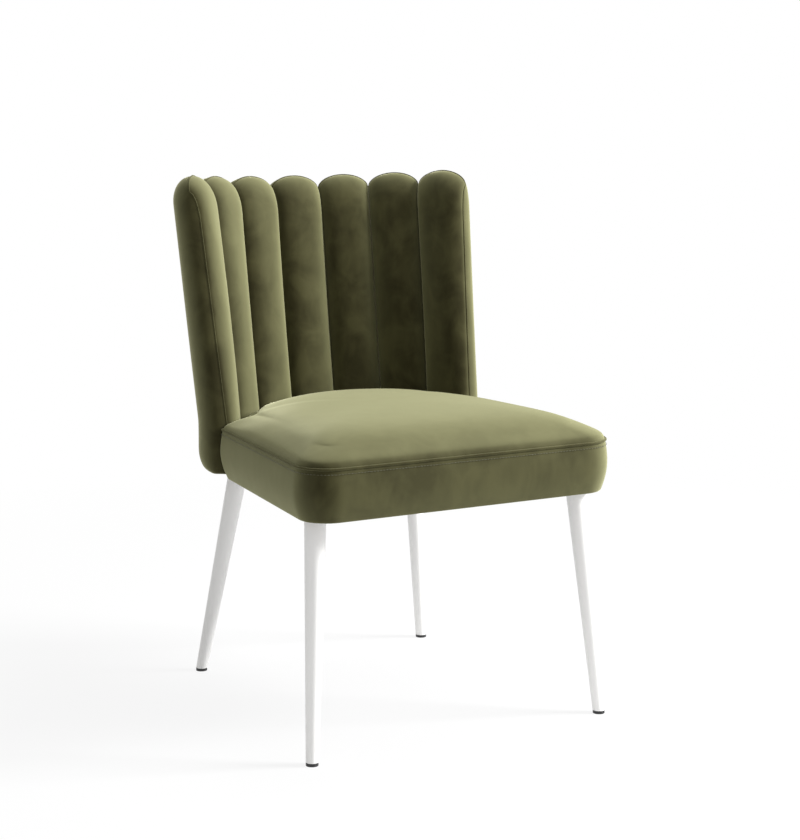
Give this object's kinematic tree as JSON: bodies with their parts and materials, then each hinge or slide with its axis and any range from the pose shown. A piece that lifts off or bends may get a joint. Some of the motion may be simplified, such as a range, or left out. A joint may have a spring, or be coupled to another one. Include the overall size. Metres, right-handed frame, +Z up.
{
  "type": "upholstered chair",
  "caption": "Armless upholstered dining chair with a crowned velvet seat, a wrap-around channelled back with a scalloped top edge, and splayed tapered round legs with glides.",
  "frame": {"origin": "on the floor, under the middle of the chair's overall box", "axes": "+Z up; the chair faces -Y; +X to the right as seen from the front"},
  "size_m": [0.5418, 0.6542, 0.8488],
  "materials": {
    "velvet": "olive-green velvet",
    "white_legs": "satin white powder coat",
    "black_plastic": "moulded black plastic",
    "plywood": "raw birch plywood",
    "hardwood": "raw beech",
    "foam": "firm polyurethane foam",
    "soft_foam": "soft polyurethane foam",
    "dust_cloth": "black non-woven cloth",
    "zinc_steel": "zinc-plated steel"
  },
  "bodies": {
    "root": {"back_rail": "hardwood", "back_shell": "plywood", "base_board": "plywood", "channel_cover_1": "velvet", "channel_cover_2": "velvet", "channel_cover_3": "velvet", "channel_cover_4": "velvet", "channel_cover_5": "velvet", "channel_cover_6": "velvet", "channel_cover_7": "velvet", "channel_foam_1": "soft_foam", "channel_foam_2": "soft_foam", "channel_foam_3": "soft_foam", "channel_foam_4": "soft_foam", "channel_foam_5": "soft_foam", "channel_foam_6": "soft_foam", "channel_foam_7": "soft_foam", "dust_cover": "dust_cloth", "front_left_glide": "black_plastic", "front_left_leg": "white_legs", "front_left_leg_plate": "white_legs", "front_right_glide": "black_plastic", "front_right_leg": "white_legs", "front_right_leg_plate": "white_legs", "leg_screws": "zinc_steel", "outer_back_cover": "velvet", "outer_back_foam": "foam", "rail_screws": "zinc_steel", "rear_left_glide": "black_plastic", "rear_left_leg": "white_legs", "rear_left_leg_plate": "white_legs", "rear_right_glide": "black_plastic", "rear_right_leg": "white_legs", "rear_right_leg_plate": "white_legs", "seat_boxing": "velvet", "seat_foam_core": "foam", "seat_foam_topper": "soft_foam", "seat_top_cover": "velvet", "seat_welt": "velvet", "shell_screws": "zinc_steel", "wing_welts": "velvet"}
  },
  "joints": []
}
